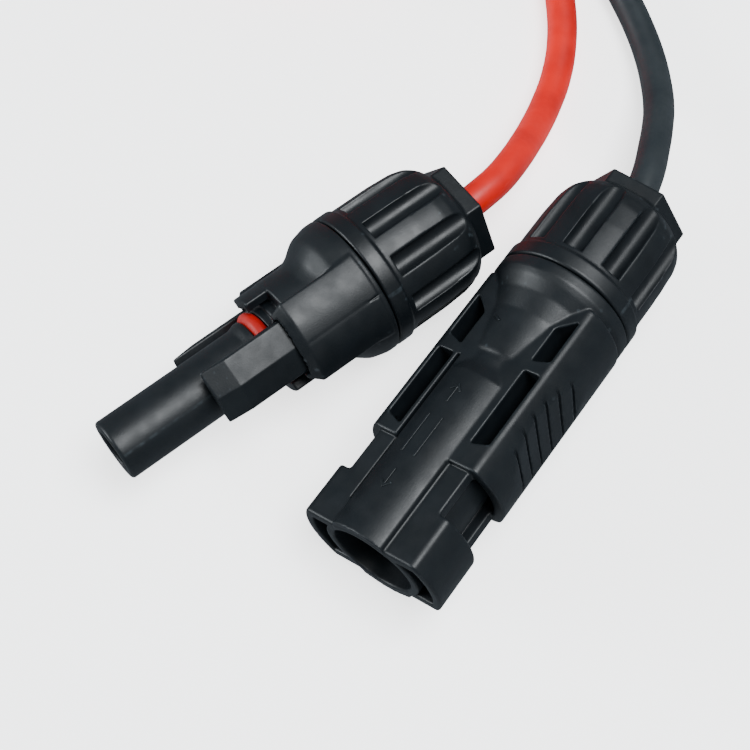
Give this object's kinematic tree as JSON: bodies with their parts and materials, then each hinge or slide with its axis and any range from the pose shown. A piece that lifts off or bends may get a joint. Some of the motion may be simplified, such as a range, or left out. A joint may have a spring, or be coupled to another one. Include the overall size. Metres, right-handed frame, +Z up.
{
  "type": "solar cable connector",
  "caption": "Pair of plug-in solar cable connector halves, socket and pin, with sprung latch arms, sealing gland nuts and insulated leads coiled behind.",
  "frame": {"origin": "centre of the socket half's nose tip", "axes": "+Y from the nose tip towards the socket half's lead, +Z up from the surface that both halves lie on, +X towards the pin half"},
  "size_m": [0.1388, 0.1083, 0.0198],
  "materials": {
    "housing_plastic": "moulded, satin",
    "latch_plastic": "moulded, satin",
    "nut_plastic": "moulded, satin",
    "basket_plastic": "moulded",
    "o_ring_rubber": "smooth",
    "seal_rubber": "smooth",
    "contact_metal": "tin-plated copper alloy",
    "spring_metal": "spring steel",
    "red_jacket": "smooth cable jacket",
    "black_jacket": "smooth cable jacket",
    "core_insulation": "smooth",
    "copper_strand": "stranded, tinned ends",
    "tie_plastic": "strap"
  },
  "bodies": {
    "socket_half": {"socket_housing": "housing_plastic", "o_ring": "o_ring_rubber", "socket_contact": "contact_metal", "socket_spring_sleeve": "spring_metal", "socket_retaining_clip": "spring_metal", "socket_cable_seal": "seal_rubber", "red_cable_jacket": "red_jacket", "red_cable_core": "core_insulation", "red_cable_conductor": "copper_strand", "red_cable_run": "red_jacket", "red_cable_coil": "red_jacket", "red_coil_tie": "tie_plastic", "red_cable_tail": "red_jacket", "red_bare_end": "copper_strand"},
    "latch_upper": {"latch_arm_upper": "latch_plastic"},
    "latch_lower": {"latch_arm_lower": "latch_plastic"},
    "socket_basket": {"socket_seal_basket": "basket_plastic"},
    "socket_nut": {"socket_gland_nut": "nut_plastic"},
    "pin_half": {"pin_housing": "housing_plastic", "contact_pin": "contact_metal", "pin_retaining_clip": "spring_metal", "pin_cable_seal": "seal_rubber", "black_cable_jacket": "black_jacket", "black_cable_core": "core_insulation", "black_cable_conductor": "copper_strand", "black_cable_run": "black_jacket", "black_cable_coil": "black_jacket", "black_coil_tie": "tie_plastic", "black_cable_tail": "black_jacket", "black_bare_end": "copper_strand"},
    "pin_basket": {"pin_seal_basket": "basket_plastic"},
    "pin_nut": {"pin_gland_nut": "nut_plastic"}
  },
  "joints": [
    {"name": "latch_upper_squeeze", "type": "hinge", "parent": "socket_half", "child": "latch_upper", "pos_m": [0.00441, 0.0284, 0.00544], "axis": [0.7771, 0, -0.6293], "range_deg": [0, 4], "stiffness_Nm_per_rad": 0.4},
    {"name": "latch_lower_squeeze", "type": "hinge", "parent": "socket_half", "child": "latch_lower", "pos_m": [-0.00441, 0.0284, -0.00544], "axis": [-0.7771, 0, 0.6293], "range_deg": [0, 4], "stiffness_Nm_per_rad": 0.4},
    {"name": "socket_basket_slide", "type": "slide", "parent": "socket_half", "child": "socket_basket", "axis": [0, 1, 0], "range_m": [0, 0.003]},
    {"name": "socket_nut_turn", "type": "hinge", "parent": "socket_basket", "child": "socket_nut", "pos_m": [0, 0.0376, 0], "axis": [0, 1, 0], "range_deg": [0, 720]},
    {"name": "pin_half_lift", "type": "slide", "parent": "socket_half", "child": "pin_half", "axis": [0, 0, 1], "range_m": [0, 0.04]},
    {"name": "pin_basket_slide", "type": "slide", "parent": "pin_half", "child": "pin_basket", "axis": [-0.2773, 0.9608, 0], "range_m": [0, 0.003]},
    {"name": "pin_nut_turn", "type": "hinge", "parent": "pin_basket", "child": "pin_nut", "pos_m": [0.01905, 0.05695, 0], "axis": [-0.2773, 0.9608, 0], "range_deg": [0, 720]}
  ],
  "couplings": [
    {"joint": "socket_basket_slide", "follows": "socket_nut_turn", "m_per_rad": 0.00023873},
    {"joint": "pin_basket_slide", "follows": "pin_nut_turn", "m_per_rad": 0.00023873}
  ]
}
